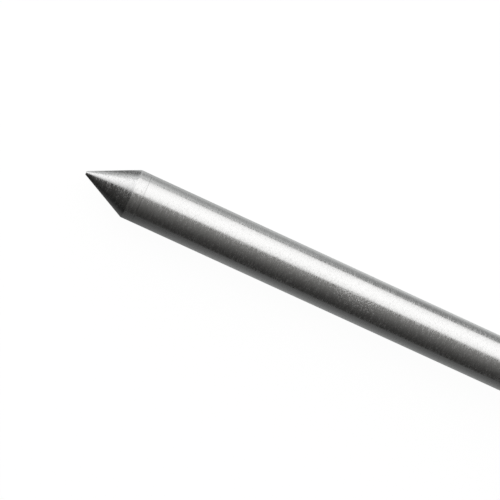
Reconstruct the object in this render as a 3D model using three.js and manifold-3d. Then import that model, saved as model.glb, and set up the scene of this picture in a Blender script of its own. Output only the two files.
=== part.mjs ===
// A hand dibber for making planting holes: a round stainless steel shaft with a turned conical point, and a
// turned ash crossbar across its top to push on.
//
// Every piece is drawn in the tool's own frame: +X runs up the tool from the tip of the point, through the
// shaft, to the crossbar, which lies along Y. The finished tool is then laid down on a level surface as it
// lies on a bench, resting on the shoulder of its point and on its crossbar. All sizes are in millimetres.
import * as THREE from "three";
import { mergeVertices } from "three/addons/utils/BufferGeometryUtils.js";
import Module from "manifold-3d";

// Driving dimensions
const SHAFT_RADIUS = 10;
const TUBE_WALL = 1.5;
const POINT_HALF_ANGLE = THREE.MathUtils.degToRad(26);
const TIP_RADIUS = 0.7; // the point ends in a small flat, not in a needle
const POINT_LAND = 4; // full-width stretch of the point, between its cone and the tube
const SPIGOT_LENGTH = 18; // how deep the point is set into the tube
const AXIS_TO_TIP = 255; // from the tip to the centre line of the crossbar
const BAR_RADIUS = 15.5;
const BAR_HALF_LENGTH = 60;
const COLLAR_RADIUS = 13.6;
const COLLAR_SKIRT_RADIUS = 12.2;
const COLLAR_LENGTH = 41; // from the collar's lower lip to the centre line of the crossbar
const PLUG_LENGTH = 34;
const PIN_RADIUS = 2;
const PIN_TO_AXIS = 29; // from the cross pin to the centre line of the crossbar
const SOCKET_TO_AXIS = 8.7; // from the floor of the shaft's socket to the centre line of the crossbar
const SEAT_TO_AXIS = 8.4; // from the washer's seat to the centre line of the crossbar
const SEAT_RADIUS = 9.5;
const WASHER_RADIUS = 8.8;
const WASHER_THICKNESS = 1.6;
const SCREW_RADIUS = 4;
const SCREW_LENGTH = 35;
const SCREW_HEAD_RADIUS = 7;
const SCREW_HEAD_HEIGHT = 4.4;
const HEX_ACROSS_FLATS = 5;
const HEX_DEPTH = 2.6;
const THREAD_CLEARANCE = 1.5; // drilled depth left below the end of the screw
const GAP = 0.3; // between pieces that touch
const SIDES = 48; // flats round a turned piece
const PIN_SIDES = 24;
const OVERRUN = 5; // how far a cutter runs past the face it cuts

// Dimensions that follow from them
const BORE_RADIUS = SHAFT_RADIUS - TUBE_WALL;
const SHOULDER = (SHAFT_RADIUS - TIP_RADIUS) / Math.tan(POINT_HALF_ANGLE);
const LAND_END = SHOULDER + POINT_LAND;
const SHAFT_TOP = AXIS_TO_TIP - SOCKET_TO_AXIS - GAP;
const COLLAR_START = AXIS_TO_TIP - COLLAR_LENGTH;
const PIN_AT = AXIS_TO_TIP - PIN_TO_AXIS;
const SEAT = AXIS_TO_TIP + SEAT_TO_AXIS;
const WASHER_START = SEAT + GAP;
const HEAD_START = WASHER_START + WASHER_THICKNESS + GAP;
const SCREW_END = HEAD_START - SCREW_LENGTH;

const wasm = await Module();
wasm.setup();

// Turned pieces. A profile lists [along, radius] pairs, and is turned about X or about Y.
function turnedAlongY(profile, sides = SIDES) {
  const points = profile.map(([along, radius]) => new THREE.Vector2(radius, along));
  return new THREE.LatheGeometry(points, sides);
}

function turnedAlongX(profile, sides = SIDES) {
  return turnedAlongY(profile, sides).rotateZ(-Math.PI / 2);
}

// A plain round bar or drill from one place to another along X.
function barAlongX(radius, start, end, sides = SIDES) {
  const bar = new THREE.CylinderGeometry(radius, radius, end - start, sides);
  return bar.rotateZ(-Math.PI / 2).translate((start + end) / 2, 0, 0);
}

// A plain round bar or drill across the tool, along Z, centred on the tool's axis.
function barAlongZ(radius, length, at) {
  const bar = new THREE.CylinderGeometry(radius, radius, length, PIN_SIDES);
  return bar.rotateX(Math.PI / 2).translate(at, 0, 0);
}

function solidOf(geometry) {
  const bare = geometry.clone();
  bare.deleteAttribute("normal");
  bare.deleteAttribute("uv");
  const merged = mergeVertices(bare);
  const vertProperties = merged.attributes.position.array;
  const triVerts = new Uint32Array(merged.index.array);
  return new wasm.Manifold(new wasm.Mesh({ numProp: 3, vertProperties, triVerts }));
}

function geometryOf(solid) {
  const { vertProperties, triVerts } = solid.getMesh();
  const geometry = new THREE.BufferGeometry();
  geometry.setAttribute("position", new THREE.BufferAttribute(vertProperties, 3));
  geometry.setIndex(new THREE.BufferAttribute(triVerts, 1));
  geometry.computeVertexNormals();
  return geometry;
}

function cut(geometry, ...cutters) {
  const left = cutters.reduce((solid, cutter) => solid.subtract(solidOf(cutter)), solidOf(geometry));
  return geometryOf(left);
}

// A quarter round between two places on a profile, bulging outwards.
function quarterRound(fromAlong, fromRadius, toAlong, toRadius, steps) {
  return Array.from({ length: steps + 1 }, (_, step) => {
    const angle = (step / steps) * (Math.PI / 2);
    const along = toAlong + (fromAlong - toAlong) * Math.cos(angle);
    const radius = fromRadius + (toRadius - fromRadius) * Math.sin(angle);
    return [along, radius];
  });
}

// Turned from solid bar: a cone with a flat tip, a short land as wide as the shaft, and a spigot.
function pointGeometry() {
  const spigotRadius = BORE_RADIUS - GAP;
  const leadIn = 1;
  const spigotEnd = LAND_END + SPIGOT_LENGTH;
  const edgeBreak = 0.15; // the shoulder's sharp edge is just taken off
  return turnedAlongX([
    [0, 0],
    [0, TIP_RADIUS - edgeBreak],
    [edgeBreak, TIP_RADIUS],
    [SHOULDER - edgeBreak, SHAFT_RADIUS - edgeBreak * Math.tan(POINT_HALF_ANGLE)],
    [SHOULDER + edgeBreak, SHAFT_RADIUS],
    [LAND_END, SHAFT_RADIUS],
    [LAND_END, spigotRadius],
    [spigotEnd - leadIn, spigotRadius],
    [spigotEnd, spigotRadius - leadIn],
    [spigotEnd, 0],
  ]);
}

// A length of plain tube, drilled across near its top for the pin.
function shaftGeometry() {
  const start = LAND_END + GAP;
  const tube = turnedAlongX([
    [start, BORE_RADIUS],
    [start, SHAFT_RADIUS],
    [SHAFT_TOP, SHAFT_RADIUS],
    [SHAFT_TOP, BORE_RADIUS],
    [start, BORE_RADIUS],
  ]);
  return cut(tube, pinHole());
}

function pinHole() {
  return barAlongZ(PIN_RADIUS + GAP, 2 * (COLLAR_RADIUS + OVERRUN), PIN_AT);
}

// A solid plug in the top of the tube, tapped for the screw and drilled across for the pin.
function plugGeometry() {
  const radius = BORE_RADIUS - GAP;
  const leadIn = 1;
  const start = SHAFT_TOP - PLUG_LENGTH;
  const drilledTo = SCREW_END - THREAD_CLEARANCE;
  const plug = turnedAlongX([
    [start, 0],
    [start, radius - leadIn],
    [start + leadIn, radius],
    [SHAFT_TOP, radius],
    [SHAFT_TOP, 0],
  ]);
  return cut(plug, barAlongX(SCREW_RADIUS + GAP, drilledTo, SHAFT_TOP + OVERRUN), pinHole());
}

// The crossbar's outline is straight where the shaft meets it, slims towards each hand-hold, and ends in a
// rounded end with a small flat. The same outline, grown by a gap, copes the collar's saddle.
function crossbarOutline(grow = 0) {
  const straight = 17;
  const waist = 52;
  const waistRadius = 12.9;
  const endFlatRadius = 5;
  const slimming = 6;
  const rounding = 6;
  const half = [[straight, BAR_RADIUS]];
  for (let step = 1; step <= slimming; step += 1) {
    const share = step / slimming;
    const ease = (1 - Math.cos(share * Math.PI)) / 2;
    half.push([straight + share * (waist - straight), BAR_RADIUS + ease * (waistRadius - BAR_RADIUS)]);
  }
  const end = quarterRound(BAR_HALF_LENGTH, endFlatRadius, waist, waistRadius, rounding).reverse();
  half.push(...end.slice(1));
  const upper = half.map(([along, radius]) => [along, radius + grow]);
  const lower = upper.map(([along, radius]) => [-along, radius]).reverse();
  return [[-BAR_HALF_LENGTH, 0], ...lower, ...upper, [BAR_HALF_LENGTH, 0]];
}

function crossbarGeometry() {
  const bar = turnedAlongY(crossbarOutline()).translate(AXIS_TO_TIP, 0, 0);
  const socketFloor = AXIS_TO_TIP - SOCKET_TO_AXIS;
  const socket = barAlongX(SHAFT_RADIUS + GAP, AXIS_TO_TIP - BAR_RADIUS - OVERRUN, socketFloor);
  const screwHole = barAlongX(SCREW_RADIUS + GAP, socketFloor - OVERRUN, SEAT + OVERRUN);
  const washerSeat = barAlongX(SEAT_RADIUS, SEAT, AXIS_TO_TIP + BAR_RADIUS + OVERRUN);
  return cut(bar, socket, screwHole, washerSeat);
}

// A turned ring round the top of the shaft. Its upper end is coped to the crossbar, which stops the crossbar
// from turning on the shaft.
function collarGeometry() {
  const inner = SHAFT_RADIUS + GAP;
  const lip = 0.8;
  const skirtEnd = COLLAR_START + 6;
  const body = turnedAlongX([
    [COLLAR_START, inner],
    [COLLAR_START, COLLAR_SKIRT_RADIUS - lip],
    [COLLAR_START + lip, COLLAR_SKIRT_RADIUS],
    [skirtEnd, COLLAR_SKIRT_RADIUS],
    ...quarterRound(skirtEnd, COLLAR_SKIRT_RADIUS, skirtEnd + 2, COLLAR_RADIUS, 4).slice(1),
    [AXIS_TO_TIP, COLLAR_RADIUS],
    [AXIS_TO_TIP, inner],
    [COLLAR_START, inner],
  ]);
  const cope = turnedAlongY(crossbarOutline(GAP)).translate(AXIS_TO_TIP, 0, 0);
  return cut(body, cope, pinHole());
}

// A solid pin through the collar, tube and plug, finished flush with slightly domed ends.
function pinGeometry() {
  const dome = 0.4;
  const end = COLLAR_RADIUS;
  const pin = turnedAlongY(
    [
      [-end, 0],
      [-end, PIN_RADIUS - dome],
      [dome - end, PIN_RADIUS],
      [end - dome, PIN_RADIUS],
      [end, PIN_RADIUS - dome],
      [end, 0],
    ],
    PIN_SIDES,
  );
  return pin.rotateX(Math.PI / 2).translate(PIN_AT, 0, 0);
}

function washerGeometry() {
  const hole = SCREW_RADIUS + GAP;
  const bevel = 0.4;
  const end = WASHER_START + WASHER_THICKNESS;
  return turnedAlongX([
    [WASHER_START, hole],
    [WASHER_START, WASHER_RADIUS],
    [end - bevel, WASHER_RADIUS],
    [end, WASHER_RADIUS - bevel],
    [end, hole],
    [WASHER_START, hole],
  ]);
}

// A button-head screw with a hexagon socket. It draws the crossbar down onto the collar and the plug.
function screwGeometry() {
  const headTop = HEAD_START + SCREW_HEAD_HEIGHT;
  const topFlat = 3.9;
  const rim = 0.6;
  const leadIn = 1;
  const screw = turnedAlongX([
    [SCREW_END, 0],
    [SCREW_END, SCREW_RADIUS - leadIn],
    [SCREW_END + leadIn, SCREW_RADIUS],
    [HEAD_START, SCREW_RADIUS],
    [HEAD_START, SCREW_HEAD_RADIUS],
    ...quarterRound(headTop, topFlat, HEAD_START + rim, SCREW_HEAD_RADIUS, 6).reverse(),
    [headTop, 0],
  ]);
  const hexCorner = HEX_ACROSS_FLATS / 2 / Math.cos(Math.PI / 6);
  return cut(screw, barAlongX(hexCorner, headTop - HEX_DEPTH, headTop + OVERRUN, 6));
}

const satinSteel = new THREE.MeshStandardMaterial({ color: 0xb9bab8, roughness: 0.3, metalness: 1 });
const turnedSteel = new THREE.MeshStandardMaterial({ color: 0xafb0ae, roughness: 0.36, metalness: 1 });
const brightSteel = new THREE.MeshStandardMaterial({ color: 0xc6c6c4, roughness: 0.2, metalness: 1 });
const oiledAsh = new THREE.MeshStandardMaterial({ color: 0xc79a63, roughness: 0.5, metalness: 0 });

function piece(name, geometry, material) {
  const mesh = new THREE.Mesh(geometry, material);
  mesh.name = name;
  return mesh;
}

const tool = new THREE.Group();
tool.add(
  piece("point", pointGeometry(), turnedSteel),
  piece("shaft_tube", shaftGeometry(), satinSteel),
  piece("threaded_plug", plugGeometry(), turnedSteel),
  piece("saddle_collar", collarGeometry(), satinSteel),
  piece("collar_pin", pinGeometry(), brightSteel),
  piece("crossbar", crossbarGeometry(), oiledAsh),
  piece("handle_washer", washerGeometry(), brightSteel),
  piece("handle_screw", screwGeometry(), brightSteel),
);

// Laid down, the tool's axis rises from the shoulder of the point to the fatter crossbar. The angle is the one
// at which a level line under the tool touches both.
const reach = AXIS_TO_TIP - SHOULDER;
const rise = Math.asin(BAR_RADIUS / Math.hypot(reach, SHAFT_RADIUS)) - Math.atan2(SHAFT_RADIUS, reach);
tool.rotation.y = -rise;

// The origin is the middle of the ground that the tool covers.
const covered = new THREE.Box3().setFromObject(tool, true);
const middle = covered.getCenter(new THREE.Vector3());
tool.position.set(-middle.x, -middle.y, -covered.min.z);

const dibber = new THREE.Group();
dibber.add(tool);

export default dibber;
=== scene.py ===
import math

import bmesh
import bpy
from mathutils import Matrix, Vector


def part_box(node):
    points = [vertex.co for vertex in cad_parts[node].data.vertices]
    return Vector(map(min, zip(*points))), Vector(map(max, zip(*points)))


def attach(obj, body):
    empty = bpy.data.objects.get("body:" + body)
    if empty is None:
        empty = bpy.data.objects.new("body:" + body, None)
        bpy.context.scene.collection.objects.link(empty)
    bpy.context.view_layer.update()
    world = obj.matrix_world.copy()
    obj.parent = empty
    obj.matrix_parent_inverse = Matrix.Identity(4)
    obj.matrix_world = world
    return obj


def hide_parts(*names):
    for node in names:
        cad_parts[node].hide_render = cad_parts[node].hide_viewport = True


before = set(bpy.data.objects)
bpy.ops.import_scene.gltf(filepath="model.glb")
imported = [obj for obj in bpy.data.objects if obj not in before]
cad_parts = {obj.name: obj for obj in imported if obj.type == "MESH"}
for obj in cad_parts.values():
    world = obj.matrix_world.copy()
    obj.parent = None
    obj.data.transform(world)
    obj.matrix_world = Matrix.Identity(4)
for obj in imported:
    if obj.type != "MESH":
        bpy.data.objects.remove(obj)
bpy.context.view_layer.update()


# How the dibber lies
# The tool rests on the shoulder of its point and on its thicker crossbar, so its shaft is just off level.
# Every piece is made in the tool's own frame, with X up the tool from its tip and Y along the crossbar.
mm = 0.001
crossbar_centre = sum(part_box("crossbar"), Vector()) / 2
tube_corners = [vertex.co.copy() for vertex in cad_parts["shaft_tube"].data.vertices]
lower_end_limit = 1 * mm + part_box("shaft_tube")[0].x
lower_end = [corner for corner in tube_corners if corner.x < lower_end_limit]
lower_end_centre = (Vector(map(min, *lower_end)) + Vector(map(max, *lower_end))) / 2
up_the_tool = (crossbar_centre - lower_end_centre).normalized()
above_the_tool = up_the_tool.cross(Vector((0, 1, 0)))
tip = crossbar_centre + up_the_tool * (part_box("point")[0].x - crossbar_centre.x) / up_the_tool.x
tool_place = Matrix((up_the_tool, (0, 1, 0), above_the_tool)).transposed().to_4x4()
tool_place.translation = tip
to_crossbar = (crossbar_centre - tip).length
tube_start = (lower_end_centre - tip).length
shaft_radius = (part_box("shaft_tube")[1].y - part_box("shaft_tube")[0].y) / 2


# Camera
# A long lens above the lower half of the tool. The tip is a little nearer to it than the crossbar is, and
# the shaft runs down to the right, out of the picture.
tip_towards_camera = math.radians(6.8)
slope_in_picture = math.radians(24.68)
camera_distance = 650 * mm
looked_at = tool_place @ Vector((70.3 * mm, -0.66 * mm, 0))

camera_data = bpy.data.cameras.new("camera")
camera_data.sensor_width = 36
camera_data.lens = 120
camera_data.clip_start = 0.01
camera_data.clip_end = 50
camera = bpy.data.objects.new("camera", camera_data)
bpy.context.scene.collection.objects.link(camera)
bpy.context.scene.camera = camera

across = Vector((0, 1, 0))
looking = up_the_tool * math.sin(tip_towards_camera) - above_the_tool * math.cos(tip_towards_camera)
along = up_the_tool * math.cos(tip_towards_camera) + above_the_tool * math.sin(tip_towards_camera)
picture_right = along * math.cos(slope_in_picture) + across * math.sin(slope_in_picture)
picture_up = across * math.cos(slope_in_picture) - along * math.sin(slope_in_picture)
camera.matrix_world = Matrix((picture_right, picture_up, -looking)).transposed().to_4x4()
camera.matrix_world.translation = looked_at - looking * camera_distance


# Room
# A dim studio, even overhead and on the light's side, and darker towards the other side and beyond the tip.
# Seen directly it is plain white, so that it carries on from the floor.
class Wire:
    """A socket in a node tree. Arithmetic on it adds Math nodes, and node() adds any other kind."""

    def __init__(self, tree, socket=None):
        self.tree = tree
        self.socket = socket

    def node(self, kind, settings=None, sockets=None, output=0):
        made = self.tree.nodes.new(kind)
        for name, value in (settings or {}).items():
            if name == "stops":
                self.set_stops(made.color_ramp, value)
            else:
                setattr(made, name, value)
        for name, value in (sockets or {}).items():
            if isinstance(value, Wire):
                self.tree.links.new(value.socket, made.inputs[name])
            else:
                made.inputs[name].default_value = value
        return Wire(self.tree, made.outputs[output] if made.outputs else None)

    @staticmethod
    def set_stops(ramp, stops):
        while len(ramp.elements) < len(stops):
            ramp.elements.new(1)
        for element, (position, colour) in zip(ramp.elements, stops):
            element.position = position
            element.color = (*colour, 1)

    def maths(self, operation, *values):
        return self.node("ShaderNodeMath", {"operation": operation}, dict(enumerate(values)))

    def vector_maths(self, operation, *values, output=0):
        return self.node("ShaderNodeVectorMath", {"operation": operation}, dict(enumerate(values)), output)

    def __add__(self, other):
        return self.maths("ADD", self, other)

    __radd__ = __add__

    def __sub__(self, other):
        return self.maths("SUBTRACT", self, other)

    def __rsub__(self, other):
        return self.maths("SUBTRACT", other, self)

    def __mul__(self, other):
        return self.maths("MULTIPLY", self, other)

    __rmul__ = __mul__

    def __pow__(self, other):
        return self.maths("POWER", self, other)


world = bpy.data.worlds.new("studio")
bpy.context.scene.world = world
world.use_nodes = True
world.node_tree.nodes.clear()
room = Wire(world.node_tree)
direction = room.node("ShaderNodeTexCoord", output="Generated")
towards_light = room.node("ShaderNodeSeparateXYZ", sockets={0: direction}, output="Y")
up_the_room = room.node("ShaderNodeSeparateXYZ", sockets={0: direction}, output="X")
by_side = room.maths("MINIMUM", towards_light + 1, 1) ** 1.4
by_end = room.maths("MINIMUM", up_the_room * 0.9 + 1, 1)
room_tint = (0.81, 0.8, 0.772, 1)
room_glow = 0.325
least_glow = 0.048
strength = (room_glow * by_side + least_glow) * by_end
dim = room.node("ShaderNodeBackground", sockets={"Color": room_tint, "Strength": strength})
white = room.node("ShaderNodeBackground", sockets={"Color": (1, 1, 1, 1), "Strength": 1})
seen_directly = room.node("ShaderNodeLightPath", output="Is Camera Ray")
seen = room.node("ShaderNodeMixShader", sockets={0: seen_directly, 1: dim, 2: white})
room.node("ShaderNodeOutputWorld", sockets={"Surface": seen})
bpy.context.scene.view_settings.view_transform = "Standard"


# Floor
# A plain white studio floor, wide enough to run out of every view. Seen directly it is lifted to paper
# white, and keeps a faint shadow.
def flat_sheet(name, reach, height):
    """A level square sheet, which reaches as far as given each way from the middle of the floor."""
    corners = [(-reach, -reach), (reach, -reach), (reach, reach), (-reach, reach)]
    mesh = bpy.data.meshes.new(name)
    mesh.from_pydata([(x, y, height) for x, y in corners], [], [(0, 1, 2, 3)])
    sheet = bpy.data.objects.new(name, mesh)
    bpy.context.scene.collection.objects.link(sheet)
    return sheet


def new_finish(name):
    material = bpy.data.materials.new(name)
    material.use_nodes = True
    material.node_tree.nodes.clear()
    return material, Wire(material.node_tree)


floor = flat_sheet("floor", reach=20, height=0)
floor_finish, paper = new_finish("white_floor")
plain = paper.node("ShaderNodeBsdfDiffuse", sockets={"Color": (0.56, 0.56, 0.56, 1)})
shaded = paper.node("ShaderNodeBsdfDiffuse", sockets={"Color": (0.06, 0.06, 0.06, 1)})
lift = paper.node("ShaderNodeEmission", sockets={"Strength": 0.965})
lifted = paper.node("ShaderNodeAddShader", sockets={0: shaded, 1: lift})
seen_directly = paper.node("ShaderNodeLightPath", output="Is Camera Ray")
seen = paper.node("ShaderNodeMixShader", sockets={0: seen_directly, 1: plain, 2: lifted})
paper.node("ShaderNodeOutputMaterial", sockets={"Surface": seen})
floor.data.materials.append(floor_finish)


# Studio light
# A long soft box fills the +Y side from the floor nearly to overhead, dimmer towards its long edges. Past
# the tip it is brighter low down and dimmer high up. A weak fill light for the wood is on the other side.
def soft_light(name, place, aim, size, brightness):
    """A rectangular light that is as bright as given, whatever its size."""
    data = bpy.data.lights.new(name, "AREA")
    data.shape = "RECTANGLE"
    data.size, data.size_y = size
    data.energy = brightness * math.pi * size[0] * size[1]
    light = bpy.data.objects.new(name, data)
    light.location = place
    light.rotation_euler = (Vector(aim) - Vector(place)).to_track_quat("-Z", "Y").to_euler()
    bpy.context.scene.collection.objects.link(light)
    light.visible_camera = False
    return light


soft_box = soft_light("soft_box", place=(0, 0.72, 0.665), aim=(0, 0, 0.1), size=(6, 1.53), brightness=1)
soft_box.data.use_nodes = True
soft_box.data.node_tree.nodes.clear()
lamp = Wire(soft_box.data.node_tree)
on_panel = lamp.node("ShaderNodeNewGeometry", output="Parametric")
along_panel = lamp.node("ShaderNodeSeparateXYZ", sockets={0: on_panel}, output="X")
up_panel = lamp.node("ShaderNodeSeparateXYZ", sockets={0: on_panel}, output="Y")
off_middle = up_panel * 2 - 1
box_strength = 1.31
edge_loss = 0.28
end_start = 0.55
end_gain = 0.3
end_slant = 2.5
towards_edges = 1 - edge_loss * off_middle * off_middle
box_past_tip = lamp.maths("MAXIMUM", along_panel - end_start, 0)
towards_end = 1 + box_past_tip * (end_gain - end_slant * off_middle)
box_glow = lamp.node("ShaderNodeEmission", sockets={"Strength": box_strength * towards_edges * towards_end})
lamp.node("ShaderNodeOutputLight", sockets={"Surface": box_glow})
fill = soft_light("fill", place=(0.7, -1.2, 0.6), aim=(0, 0, 0), size=(1.2, 0.8), brightness=0.8)
fill.visible_glossy = False


# Graded sheet of painted reflections
# A glowing sheet on the floor that only shows in reflections, where it paints the lit floor and its shade.
# It glows pale on the light's side, and on the other side its painted shade runs from grey beside the tool
# to near black far off. Round the point it is graded along the tool too.
def graded(tree, value, stops):
    """A grey that runs through (value, grey) stops."""
    low, high = stops[0][0], stops[-1][0]
    share = (value - low) * (1 / (high - low))
    ramp = [((at - low) / (high - low), (grey, grey, grey)) for at, grey in stops]
    return tree.node("ShaderNodeValToRGB", {"stops": ramp}, {0: share})


painted_reflection_sheet = flat_sheet("painted_reflection_sheet", reach=3, height=0.3 * mm)
sheet_finish, sheet = new_finish("painted_reflection_sheet")
here = sheet.node("ShaderNodeTexCoord", output="Object")
x = sheet.node("ShaderNodeSeparateXYZ", sockets={0: here}, output="X")
y = sheet.node("ShaderNodeSeparateXYZ", sockets={0: here}, output="Y")
# Painted reflection of the floor lit by the soft box, pale beside the tool on the light's side.
beside = graded(sheet, y, [(-0.01, 0), (0.012, 0.66), (0.022, 0.66), (0.031, 0.36), (0.06, 0), (0.4, 0)])
beside_by_length = graded(
    sheet,
    x,
    [
        (-0.2, 0),
        (-0.17, 0.2),
        (-0.155, 1.5),
        (-0.1378, 1.4),
        (-0.1355, 0.6),
        (-0.128, 0.3),
        (-0.1215, 0.3),
        (-0.118, 1.1),
        (-0.112, 0.9),
        (-0.07, 1),
        (0, 1.2),
    ],
)
# Painted reflection of the lit floor further off on the light's side.
far_off = graded(sheet, y, [(0.026, 0), (0.072, 1)])
far_off_by_length = graded(
    sheet,
    x,
    [
        (-0.2, 1),
        (-0.17, 0.8),
        (-0.145, 0.5),
        (-0.12, 0.85),
        (-0.105, 0.82),
        (-0.09, 0.63),
        (-0.045, 0.6),
        (0, 0.36),
    ],
)
# Painted shade: on the side away from the light the glow runs from grey beside the tool to near black far
# off.
painted_shade_side = graded(
    sheet,
    y,
    [
        (-0.4, 0.14),
        (-0.11, 0.14),
        (-0.052, 0.18),
        (-0.032, 0.25),
        (-0.021, 0.32),
        (-0.012, 0.42),
        (0.01, 0),
    ],
)
painted_shade_by_length = graded(sheet, x, [(-0.135, 0.12), (-0.118, 0.35), (-0.105, 0.65), (-0.07, 1)])
shade = beside * beside_by_length + far_off * far_off_by_length + painted_shade_side * painted_shade_by_length
# The sheet's glow paints the floor's light and shade into the steel's reflections.
sheet_glow = sheet.node("ShaderNodeEmission", sockets={"Color": (0.985, 1, 0.993, 1), "Strength": shade})
sheet.node("ShaderNodeOutputMaterial", sockets={"Surface": sheet_glow})
painted_reflection_sheet.data.materials.append(sheet_finish)
painted_reflection_sheet.visible_camera = False
painted_reflection_sheet.visible_diffuse = False
painted_reflection_sheet.visible_shadow = False


# Point
# Turned from solid stainless bar: the cone, a short land as wide as the shaft, and a spigot that is pressed
# into the tube. It is left as turned, with fine rings, and its tip is a small flat.
def rounded(corners, steps=5):
    """An outline of (along, radius, rounding) corners, as points, with each rounding an arc."""
    points = []
    for before, (along, radius, rounding), after in zip([None, *corners], corners, [*corners[1:], None]):
        corner = Vector((along, radius))
        if rounding == 0:
            points.append(corner)
            continue
        back = (Vector(before[:2]) - corner).normalized()
        on = (Vector(after[:2]) - corner).normalized()
        half = back.angle(on) / 2
        middle = corner + (back + on).normalized() * rounding / math.sin(half)
        start = corner + back * rounding / math.tan(half) - middle
        end = corner + on * rounding / math.tan(half) - middle
        points += [middle + start.slerp(end, step / steps) * rounding for step in range(steps + 1)]
    return points


def steadied(outline):
    """The outline, with a point near both ends of each long stretch, so that it is shaded as straight."""
    nearness, long_stretch = 0.25 * mm, 1.5 * mm
    points = [outline[0]]
    for start, end in zip(outline, outline[1:]):
        if (end - start).length > long_stretch:
            step = (end - start).normalized() * nearness
            points += [start + step, end - step]
        points.append(end)
    return points


def skinned(name, rings, closed=False, place=tool_place):
    """A piece whose skin runs over rings of points in turn. A ring of one point closes an end."""
    mesh = bmesh.new()
    rows = [[mesh.verts.new(point) for point in ring] for ring in rings]
    for here, there in zip(rows, rows[1:] + rows[:1] if closed else rows[1:]):
        sides = max(len(here), len(there))
        for side in range(sides):
            on = (side + 1) % sides
            round_face = ((here, side), (here, on), (there, on), (there, side))
            corners = [row[at % len(row)] for row, at in round_face]
            mesh.faces.new(dict.fromkeys(corners))
    return finished(name, mesh, place)


sharp_edge = math.radians(32)


def finished(name, mesh, place=tool_place):
    """The mesh as an object, put in its place and shaded smooth but for its sharp edges."""
    bmesh.ops.recalc_face_normals(mesh, faces=mesh.faces)
    data = bpy.data.meshes.new(name)
    mesh.to_mesh(data)
    mesh.free()
    data.transform(place)
    data.shade_smooth()
    data.set_sharp_from_angle(angle=sharp_edge)
    piece = bpy.data.objects.new(name, data)
    bpy.context.scene.collection.objects.link(piece)
    return piece


def round_ring(along, radius, sides):
    """A ring of points round the tool, or one point where the radius is nothing."""
    if radius == 0:
        return [Vector((along, 0, 0))]
    turns = [2 * math.pi * side / sides for side in range(sides)]
    return [Vector((along, radius * math.sin(turn), radius * math.cos(turn))) for turn in turns]


def turned(name, outline, sides=192, closed=False, place=tool_place):
    """A piece turned to an outline of (along, radius) points. A closed outline makes a ring."""
    points = steadied(outline + outline[:1] if closed else outline)
    rings = [round_ring(*point, sides) for point in (points[:-1] if closed else points)]
    return skinned(name, rings, closed, place)


point_half_angle = math.radians(26)
tip_radius = 0.7 * mm
shoulder = (shaft_radius - tip_radius) / math.tan(point_half_angle)
seam = 0.03 * mm
seam_edge = 0.05 * mm
land_end = tube_start - seam
spigot_radius = 8.45 * mm
spigot_length = 18 * mm
spigot_end = land_end + spigot_length
turned_point = turned(
    "turned_point",
    rounded(
        [
            (0, 0, 0),
            (0, tip_radius, 0.2 * mm),
            (shoulder, shaft_radius, 0.6 * mm),
            (land_end, shaft_radius, seam_edge),
            (land_end, spigot_radius, 0),
            (spigot_end, spigot_radius, 0.8 * mm),
            (spigot_end, 0, 0),
        ]
    ),
)


def on_tool(tree):
    """The place of a point of the surface in the tool's frame."""
    here = tree.node("ShaderNodeTexCoord", output="Object")
    sockets = {0: here, 1: tip, 2: tool_place.to_euler()}
    return tree.node("ShaderNodeMapping", {"vector_type": "TEXTURE"}, sockets)


def grained(tree, size, detail=2):
    """Noise whose grains are as long as given along each axis of the tool."""
    scale = [1 / length for length in size]
    spot = tree.vector_maths("MULTIPLY", on_tool(tree), scale)
    return tree.node("ShaderNodeTexNoise", sockets={"Vector": spot, "Scale": 1, "Detail": detail})


def mixed(tree, share, first, second):
    """A colour between two, by a share that varies over the surface. Either colour can vary too."""
    sockets = {0: share}
    for name, colour in ((6, first), (7, second)):
        sockets[name] = colour if isinstance(colour, Wire) else (*colour, 1)
    return tree.node("ShaderNodeMix", {"data_type": "RGBA"}, sockets, output=2)


def between(value, low, high):
    """How far a value has come from low to high, from 0 to 1, with soft ends."""
    settings = {"interpolation_type": "SMOOTHSTEP"}
    return value.node("ShaderNodeMapRange", settings, {0: value, 1: low, 2: high, 3: 0, 4: 1})


def bare_steel(name, grain, depth, smooth, wear=lambda steel, specks: (0, 0)):
    """Steel with fine streaks of a given size and depth, duller in them, in its specks and where worn.

    wear() gives how much duller wear has made it, and how many times as deep as a streak its dents are.
    """
    material, steel = new_finish(name)
    plain_grey = (0.6, 0.6, 0.6)
    streak_grey = (0.64, 0.64, 0.64)
    duller = 0.22
    speck_size = (0.4 * mm, 0.9 * mm, 0.9 * mm)
    streaks = between(grained(steel, grain), 0.25, 0.75)
    specks = between(grained(steel, speck_size, 1), 0.4, 0.75)
    dulled, dents = wear(steel, specks)
    height = streaks - dents
    bump = steel.node("ShaderNodeBump", sockets={"Strength": 1, "Distance": depth, "Height": height})
    shader = steel.node(
        "ShaderNodeBsdfPrincipled",
        sockets={
            "Base Color": mixed(steel, streaks, plain_grey, streak_grey),
            "Metallic": 1,
            "Roughness": streaks * duller + specks * duller + dulled + smooth,
            "Normal": bump,
        },
    )
    steel.node("ShaderNodeOutputMaterial", sockets={"Surface": shader})
    return material


def up_to(steel, start, end):
    """1 up the tool as far as the start, and on down to 0 at the end."""
    along_tool = steel.node("ShaderNodeSeparateXYZ", sockets={0: on_tool(steel)}, output="X")
    return 1 - between(along_tool, start, end)


point_finish = bare_steel(
    "steel_as_turned",
    grain=(0.35 * mm, 4 * mm, 4 * mm),
    depth=0.007 * mm,
    smooth=0.1,
)
turned_point.data.materials.append(point_finish)
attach(turned_point, "root")
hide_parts("point")


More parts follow.
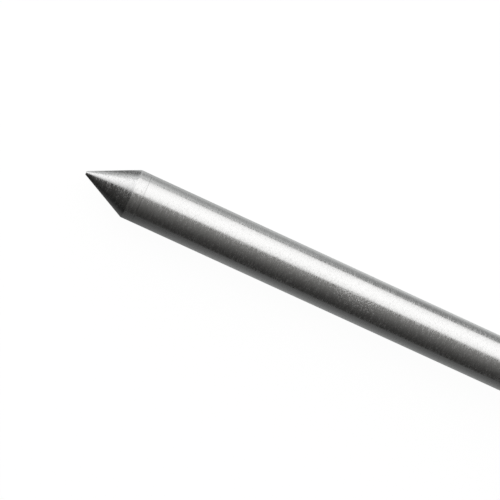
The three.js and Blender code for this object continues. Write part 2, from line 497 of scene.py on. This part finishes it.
# Shaft
# Plain stainless tube, 20 mm across with a 1.5 mm wall, polished round its axis to a satin finish. Its
# lower end butts against the land of the point.
tube_wall = 1.5 * mm
short_of_crossbar_middle = 9 * mm
bore_radius = shaft_radius - tube_wall
tube_end = to_crossbar - short_of_crossbar_middle
polished_shaft = turned(
    "polished_shaft",
    rounded(
        [
            (tube_start, bore_radius, 0),
            (tube_start, shaft_radius, seam_edge),
            (tube_end, shaft_radius, 0.2 * mm),
            (tube_end, bore_radius, 0),
        ]
    ),
    closed=True,
)

knocks_place = (115 * mm, -1.8 * mm, shaft_radius)
knocks_size = (15 * mm, 4 * mm, 8 * mm)
dent_size = (0.7 * mm, 0.7 * mm, 0.7 * mm)
dent_depth = 8


def worn(steel, specks):
    """Duller and less specked beside the point, and duller in a patch of small dents on the upper side."""
    from_knocks = steel.vector_maths("SUBTRACT", on_tool(steel), knocks_place)
    from_knocks = steel.vector_maths("DIVIDE", from_knocks, knocks_size)
    out_of_patch = steel.vector_maths("LENGTH", from_knocks, output="Value")
    knocks = 1 - between(out_of_patch, 0.4, 1)
    unevenness = grained(steel, (20 * mm, 5 * mm, 5 * mm))
    dents = between(grained(steel, dent_size, 1), 0.5, 0.7)
    beside_point = up_to(steel, start=22 * mm, end=45 * mm)
    dulled = beside_point * (0.06 - specks * 0.14) + unevenness * 0.1 + knocks * specks * 0.2
    return dulled, knocks * dents * dent_depth


shaft_finish = bare_steel(
    "satin_steel",
    grain=(0.3 * mm, 3 * mm, 3 * mm),
    depth=0.004 * mm,
    smooth=0.02,
    wear=worn,
)
polished_shaft.data.materials.append(shaft_finish)
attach(polished_shaft, "root")
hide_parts("shaft_tube")


# Plug
# A solid plug pressed into the top of the tube, tapped for the crossbar's screw. It is turned from the same
# bar as the point, and nothing of it shows.
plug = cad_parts["threaded_plug"]
plug.data.materials.clear()
plug.data.materials.append(point_finish)


# Collar
# A turned stainless ring round the top of the tube. Its upper end is coped to the crossbar, which keeps
# the crossbar from turning, and a pin holds it on the tube.
fit = 0.06 * mm
bar_radius = 15.5 * mm
collar_start = to_crossbar - 41 * mm
skirt_end = collar_start + 6 * mm
groove_start = collar_start + 10 * mm
groove_depth = 0.35 * mm
body_start = collar_start + 13 * mm
collar_radius = 13.6 * mm
collar_skirt_radius = 12.2 * mm
collar_bore = shaft_radius + fit
saddle_edge = 0.4 * mm
pin_radius = 2 * mm
pin_place = to_crossbar - 29 * mm
drill_clearance = 0.03 * mm
collar_sides = 192
pin_sides = 64
quarters = (0.25, 0.5, 0.75, 1)


def saddle(radius, turn):
    """How far along the tool the collar meets the crossbar, at a radius and a turn round the tool."""
    height = radius * math.cos(turn)
    return to_crossbar - math.sqrt((bar_radius + fit) ** 2 - height**2)


def ring_of(along_and_radius, sides):
    """A ring round the tool, from a function that gives its place along it and its radius at each turn."""
    points = []
    for side in range(sides):
        turn = 2 * math.pi * side / sides
        along, radius = along_and_radius(turn)
        points.append(Vector((along, radius * math.sin(turn), radius * math.cos(turn))))
    return points


collar_outline = rounded(
    [
        (collar_start, collar_bore, 0),
        (collar_start, collar_skirt_radius, 0.6 * mm),
        (skirt_end, collar_skirt_radius, 0.3 * mm),
        (skirt_end, collar_radius, 1 * mm),
        (groove_start, collar_radius, 0),
        (groove_start + groove_depth, collar_radius - groove_depth, 0),
        (groove_start + 2 * groove_depth, collar_radius, 0),
        (body_start, collar_radius, 0),
    ]
)
collar_rings = [round_ring(*point, collar_sides) for point in steadied(collar_outline)]
for share in quarters:
    collar_rings.append(
        ring_of(
            lambda turn: (
                body_start + share * (saddle(collar_radius, turn) - saddle_edge - body_start),
                collar_radius,
            ),
            collar_sides,
        )
    )
for share in quarters:
    collar_rings.append(
        ring_of(
            lambda turn: (
                saddle(collar_radius - saddle_edge * share**2, turn) - saddle_edge * (1 - share) ** 2,
                collar_radius - saddle_edge * share**2,
            ),
            collar_sides,
        )
    )
for share in (0.3, 0.65, 1):
    radius = collar_radius - saddle_edge + share * (collar_bore - collar_radius + saddle_edge)
    collar_rings.append(ring_of(lambda turn: (saddle(radius, turn), radius), collar_sides))
coped_collar = skinned("coped_collar", collar_rings, closed=True)


def drill(piece, cutter):
    """Cuts the cutter's shape out of the piece, and clears the cutter away."""
    cut = piece.modifiers.new("cut", "BOOLEAN")
    cut.object = cutter
    cut.solver = "EXACT"
    made = piece.evaluated_get(bpy.context.evaluated_depsgraph_get())
    data = bpy.data.meshes.new_from_object(made)
    piece.modifiers.clear()
    piece.data = data
    data.set_sharp_from_angle(angle=sharp_edge)
    bpy.data.objects.remove(cutter)


across_tool = tool_place @ Matrix.Translation((pin_place, 0, 0)) @ Matrix.Rotation(-math.pi / 2, 4, "Y")
drill_reach = 20 * mm
drill_radius = pin_radius + drill_clearance
drill_outline = rounded(
    [
        (-drill_reach, 0, 0),
        (-drill_reach, drill_radius, 0),
        (drill_reach, drill_radius, 0),
        (drill_reach, 0, 0),
    ]
)
pin_drill = turned("pin_drill", drill_outline, pin_sides, place=across_tool)
drill(coped_collar, pin_drill)

collar_finish = bare_steel(
    "collar_steel",
    grain=(0.25 * mm, 5 * mm, 5 * mm),
    depth=0.003 * mm,
    smooth=0.12,
)
coped_collar.data.materials.append(collar_finish)
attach(coped_collar, "root")
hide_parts("saddle_collar")


# Collar pin
# A solid stainless pin, driven through collar, tube and plug, and finished flush, with its ends a little
# domed.
pin_end = collar_radius
cross_pin = turned(
    "cross_pin",
    rounded(
        [
            (-pin_end, 0, 0),
            (-pin_end, pin_radius, 0.7 * mm),
            (pin_end, pin_radius, 0.7 * mm),
            (pin_end, 0, 0),
        ]
    ),
    pin_sides,
    place=across_tool,
)
pin_finish = bare_steel(
    "bright_steel",
    grain=(0.5 * mm, 0.5 * mm, 0.5 * mm),
    depth=0.003 * mm,
    smooth=0.1,
)
cross_pin.data.materials.append(pin_finish)
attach(cross_pin, "root")
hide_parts("collar_pin")


# Crossbar
# Turned from ash along the grain: straight where the shaft meets it, slimmer towards the hands, with round
# ends marked by the lathe's centres. It is bored for the screw, sunk for the tube below and for the washer
# and screw head above, and oiled.
half_length = 60 * mm
straight = 17 * mm
waist = 52 * mm
waist_radius = 12.9 * mm
end_flat = 5 * mm
mark_radius = 1.2 * mm
mark_depth = 0.9 * mm
socket_radius = shaft_radius + fit
socket_floor = -8.7 * mm
screw_hole = 4.3 * mm
washer_seat = 8.4 * mm
seat_radius = 9.5 * mm
seat_edge = 0.6 * mm
columns = 96
block = 32  # rows and columns that give way to the round holes above and below
hole_sides = 4 * block
lean_of_block = math.radians(60)


def half_outline():
    """The crossbar's outline from its straight middle to its end, as places along it and radii."""
    slimming_steps = 18
    rounding_steps = 12
    points = []
    for step in range(1, slimming_steps + 1):
        share = step / slimming_steps
        ease = (1 - math.cos(math.pi * share)) / 2
        place = straight + share * (waist - straight)
        points.append((place, bar_radius + ease * (waist_radius - bar_radius)))
    for step in range(1, rounding_steps + 1):
        angle = math.pi / 2 * step / rounding_steps
        place = waist + (half_length - waist) * math.sin(angle)
        points.append((place, end_flat + (waist_radius - end_flat) * math.cos(angle)))
    return points


middle_rows = [(-straight + 2 * straight * row / block, bar_radius) for row in range(block + 1)]
upper_rows = half_outline()
lower_rows = [(-place, radius) for place, radius in reversed(upper_rows)]
bar_rows = lower_rows + middle_rows + upper_rows
first_middle_row = len(lower_rows)
holes = {1: 0, -1: columns // 2}  # each hole's side of the crossbar, and the column at its middle


def perimeter(side):
    """Row and column of each point round a hole's block of the grid, and how far out it is each way."""
    points = []
    for step in range(hole_sides):
        edge, at = divmod(step, block)
        share = 2 * at / block - 1
        over, round_bar = [(1, share), (-share, 1), (-1, -share), (share, -1)][edge]
        row = first_middle_row + round(block / 2 * (1 + over))
        column = (holes[side] + side * round(block / 2 * round_bar)) % columns
        points.append((row, column, over, round_bar))
    return points


def inside_block(row, column):
    """Whether a grid point lies inside the block of either hole."""
    rows_in = first_middle_row < row < first_middle_row + block
    middles = holes.values()
    from_hole = min(min((column - middle) % columns, (middle - column) % columns) for middle in middles)
    return rows_in and from_hole < block // 2


def face_in_block(row, column):
    """Whether the face on from a grid point belongs to the block of either hole."""
    rows_in = first_middle_row <= row < first_middle_row + block
    return rows_in and any((column - middle + block // 2) % columns < block for middle in holes.values())


def about_bar(place, radius, column):
    """A point round the crossbar's own axis, at a place along it."""
    turn = 2 * math.pi * column / columns
    return (to_crossbar + radius * math.cos(turn), place, radius * math.sin(turn))


mesh = bmesh.new()
grid = {}
for row, (place, radius) in enumerate(bar_rows):
    for column in range(columns):
        if not inside_block(row, column):
            grid[row, column] = mesh.verts.new(about_bar(place, radius, column))
for row in range(len(bar_rows) - 1):
    for column in range(columns):
        on = (column + 1) % columns
        if not face_in_block(row, column):
            round_face = ((row, column), (row, on), (row + 1, on), (row + 1, column))
            mesh.faces.new([grid[corner] for corner in round_face])
for row, side in ((0, -1), (len(bar_rows) - 1, 1)):
    rim = [grid[row, column] for column in range(columns)]
    mark = [mesh.verts.new(about_bar(side * half_length, mark_radius, column)) for column in range(columns)]
    centre = mesh.verts.new((to_crossbar, side * (half_length - mark_depth), 0))
    for column in range(columns):
        on = (column + 1) % columns
        mesh.faces.new((rim[column], rim[on], mark[on], mark[column]))
        mesh.faces.new((mark[column], mark[on], centre))


def on_bar(side, place, lean):
    """A point of the crossbar's straight middle, at a lean from the top or bottom of it."""
    return (to_crossbar + side * bar_radius * math.cos(lean), place, bar_radius * math.sin(lean))


def hole_turn(step):
    """The turn round the screw's line at a step round a block, which starts from a corner of the block."""
    return 2 * math.pi * (step / hole_sides - 1 / 8)


def hole_ring(height, radius):
    """A ring of points round the screw's line. Its height above the crossbar's middle can be a function."""
    points = []
    for step in range(hole_sides):
        turn = hole_turn(step)
        over, up = radius * math.cos(turn), radius * math.sin(turn)
        points.append((to_crossbar + (height(up) if callable(height) else height), over, up))
    return points


def surface(up):
    """How high the crossbar's skin is above its middle, over a point this far to the side."""
    return math.sqrt(bar_radius**2 - up**2)


def patch_rings(side, radius):
    """Rings that lead from the block's edge, over the crossbar's skin, to a round hole."""
    layers = 9
    rings = []
    for layer in range(1, layers + 1):
        share = (1 - layer / layers) ** 1.2
        ring = []
        for step, (_, _, over, round_bar) in enumerate(perimeter(side)):
            turn = hole_turn(step)
            hole_lean = math.asin(radius * math.sin(turn) / bar_radius)
            place = share * over * straight + (1 - share) * radius * math.cos(turn)
            lean = share * round_bar * lean_of_block + (1 - share) * hole_lean
            ring.append(on_bar(side, place, lean))
        rings.append(ring)
    return rings


top_edge = []
for share in quarters:
    radius = seat_radius + seat_edge * (1 - share) ** 2
    top_edge.append(
        hole_ring(
            lambda up: (
                (1 - share) ** 2 * surface(up * (seat_radius + seat_edge) / radius)
                + (1 - (1 - share) ** 2) * surface(up * seat_radius / radius)
                - seat_edge * share**2
            ),
            radius,
        )
    )
tunnel = [
    hole_ring(washer_seat, seat_radius),
    hole_ring(washer_seat, screw_hole),
    hole_ring(socket_floor, screw_hole),
    hole_ring(socket_floor, socket_radius),
]
rings = [
    *patch_rings(1, seat_radius + seat_edge),
    *top_edge,
    *tunnel,
    *reversed(patch_rings(-1, socket_radius)),
]
loops = [
    [grid[row, column] for row, column, _, _ in perimeter(1)],
    *[[mesh.verts.new(point) for point in ring] for ring in rings],
    [grid[row, column] for row, column, _, _ in perimeter(-1)],
]
for here, there in zip(loops, loops[1:]):
    for step in range(hole_sides):
        on = (step + 1) % hole_sides
        mesh.faces.new((here[step], here[on], there[on], there[step]))
ash_crossbar = finished("ash_crossbar", mesh)

ash_finish, ash = new_finish("oiled_ash")


def fibrous(across_grain, along_grain, detail=2):
    """Noise whose grains are as wide across the wood's grain, and as long along it, as given."""
    return grained(ash, (across_grain, along_grain, across_grain), detail)


pith = (to_crossbar - 24 * mm, 0, -31 * mm)
from_pith = ash.vector_maths("SUBTRACT", on_tool(ash), pith)
off_pith = ash.vector_maths("MULTIPLY", from_pith, (1, 0, 1))
ring_radius = ash.vector_maths("LENGTH", off_pith, output="Value")
wander = fibrous(18 * mm, 110 * mm)
ring_width = 2.3 * mm
waviness = 3.2
years = ring_radius * (1 / ring_width) + wander * waviness
year = years.maths("FRACT", years)
early = 1 - between(year, 0.02, 0.34)
pores = between(fibrous(0.22 * mm, 5 * mm, 1), 0.5, 0.62) * (0.25 + 0.75 * early)
fibres = fibrous(0.5 * mm, 22 * mm, 3)
cloud = fibrous(14 * mm, 40 * mm)
tone = fibres * 0.5 + cloud * 0.5
dark_ash = (0.47, 0.3, 0.155)
pale_ash = (0.66, 0.46, 0.26)
early_wood = (0.36, 0.2, 0.09)
pore_brown = (0.2, 0.1, 0.045)
colour = mixed(ash, tone, dark_ash, pale_ash)
colour = mixed(ash, early * 0.55, colour, early_wood)
colour = mixed(ash, pores * 0.7, colour, pore_brown)
depth = fibres * 0.25 - pores - early * 0.3
bump = ash.node("ShaderNodeBump", sockets={"Strength": 1, "Distance": 0.03 * mm, "Height": depth})
shader = ash.node(
    "ShaderNodeBsdfPrincipled",
    sockets={
        "Base Color": colour,
        "Roughness": 0.36 + pores * 0.25 + fibres * 0.1,
        "Normal": bump,
    },
)
ash.node("ShaderNodeOutputMaterial", sockets={"Surface": shader})
ash_crossbar.data.materials.append(ash_finish)
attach(ash_crossbar, "root")
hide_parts("crossbar")


# Washer
# A plain stainless washer on the seat sunk in the crossbar. It spreads the screw's pull, so that the head
# doesn't bite into the wood.
clamped_gap = 0.3 * mm
washer_thickness = 1.6 * mm
washer_start = to_crossbar + washer_seat + clamped_gap
washer_end = washer_start + washer_thickness
washer_radius = 8.8 * mm
washer_hole = 4.3 * mm
chamfered_washer = turned(
    "chamfered_washer",
    rounded(
        [
            (washer_start, washer_hole, 0),
            (washer_start, washer_radius, 0.1 * mm),
            (washer_end, washer_radius, 0.4 * mm),
            (washer_end, washer_hole, 0),
        ]
    ),
    closed=True,
)
chamfered_washer.data.materials.append(pin_finish)
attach(chamfered_washer, "root")
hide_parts("handle_washer")


# Screw
# A stainless button-head screw with a hexagon socket, M8 by 35, with 22 mm of thread. It goes down through
# the crossbar into the plug.
head_start = washer_end + clamped_gap
head_height = 4.4 * mm
head_radius = 7 * mm
head_top = head_start + head_height
head_flat = 3.9 * mm
head_rim = 0.6 * mm
screw_radius = 4 * mm
screw_length = 35 * mm
screw_end = head_start - screw_length
thread_length = 22 * mm
thread_pitch = 1.25 * mm
thread_depth = 0.7 * mm
thread_steps_per_turn = 8
hexagon = 5 * mm
hexagon_depth = 2.6 * mm
hexagon_chamfer = 0.15 * mm
hexagon_cone = 0.7 * mm
end_chamfer = 0.8 * mm
dome_steps = 12
screw_sides = 96


def hexagon_ring(along, wider=0):
    """A ring of the socket's hexagon, which can be wider for a chamfer."""
    sixth = math.pi / 3

    def place(turn):
        from_flat = (turn + sixth / 2) % sixth - sixth / 2
        return along, wider + hexagon / 2 / math.cos(from_flat)

    return ring_of(place, screw_sides)


def thread_ring(along):
    """A ring cut by the thread, which runs out at both ends."""
    from_end = min(along - screw_end, screw_end + thread_length - along)
    depth = thread_depth * min(1, from_end / thread_pitch)

    def place(turn):
        wave = (along / thread_pitch - turn / (2 * math.pi)) % 1
        return along, screw_radius - depth * (1 - abs(2 * wave - 1))

    return ring_of(place, screw_sides)


head_outline = [Vector((head_top, head_flat))]
for step in range(1, dome_steps + 1):
    angle = math.pi / 2 * step / dome_steps
    dome_place = head_start + head_rim + (head_height - head_rim) * math.cos(angle)
    dome_radius = head_flat + (head_radius - head_flat) * math.sin(angle)
    head_outline.append(Vector((dome_place, dome_radius)))
under_head = rounded(
    [
        (head_start + head_rim, head_radius, 0),
        (head_start, head_radius, 0.2 * mm),
        (head_start, screw_radius, 0.3 * mm),
        (screw_end + thread_length, screw_radius, 0),
    ]
)[1:]
thread_steps = round(thread_length / thread_pitch * thread_steps_per_turn)
thread = []
for step in range(1, thread_steps):
    thread.append(thread_ring(screw_end + thread_length * (1 - step / thread_steps)))
screw_rings = [
    round_ring(head_top - hexagon_depth - hexagon_cone, 0, screw_sides),
    hexagon_ring(head_top - hexagon_depth),
    hexagon_ring(head_top - hexagon_chamfer),
    hexagon_ring(head_top, hexagon_chamfer),
    *[round_ring(*point, screw_sides) for point in head_outline + under_head],
    *thread,
    round_ring(screw_end, screw_radius - end_chamfer, screw_sides),
    round_ring(screw_end, 0, screw_sides),
]
button_head_screw = skinned("button_head_screw", screw_rings)
button_head_screw.data.materials.append(pin_finish)
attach(button_head_screw, "root")
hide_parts("handle_screw")
